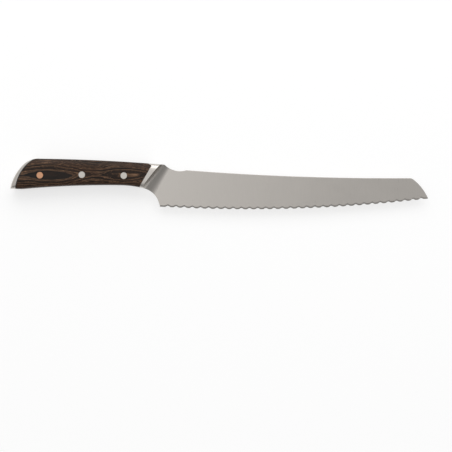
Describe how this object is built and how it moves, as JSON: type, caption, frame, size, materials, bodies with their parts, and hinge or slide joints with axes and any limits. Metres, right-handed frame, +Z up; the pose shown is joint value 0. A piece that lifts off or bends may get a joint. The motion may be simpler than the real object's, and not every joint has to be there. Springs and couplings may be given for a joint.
{
  "type": "bread knife",
  "caption": "Scalloped bread knife with a round nose, ground bolster, full tang, riveted dark laminated wood scales and a steel butt cap.",
  "frame": {"origin": "centre of the bounding box in X and Y, on the flat lower side of the handle, as the knife lies on its side", "axes": "+X along the knife from the butt to the tip, +Y from the toothed edge to the spine, +Z up through the thickness"},
  "size_m": [0.375, 0.0454, 0.019],
  "materials": {
    "blade_steel": "fine satin, ground lengthwise",
    "fitting_steel": "polished satin",
    "tang_steel": "satin along the visible edges",
    "laminated_wood": "dark laminated wood, sanded and oiled",
    "liner": "black vulcanised fibre",
    "copper_rivet": "copper, sanded flush",
    "steel_rivet": "sanded flush"
  },
  "bodies": {
    "root": {"blade": "blade_steel", "bolster": "fitting_steel", "tang": "tang_steel", "butt_cap": "fitting_steel", "front_scale": "laminated_wood", "back_scale": "laminated_wood", "front_liner": "liner", "back_liner": "liner", "rear_rivet_stud": "copper_rivet", "rear_rivet_sleeve": "copper_rivet", "middle_rivet_stud": "steel_rivet", "middle_rivet_sleeve": "steel_rivet", "front_rivet_stud": "steel_rivet", "front_rivet_sleeve": "steel_rivet"}
  },
  "joints": []
}
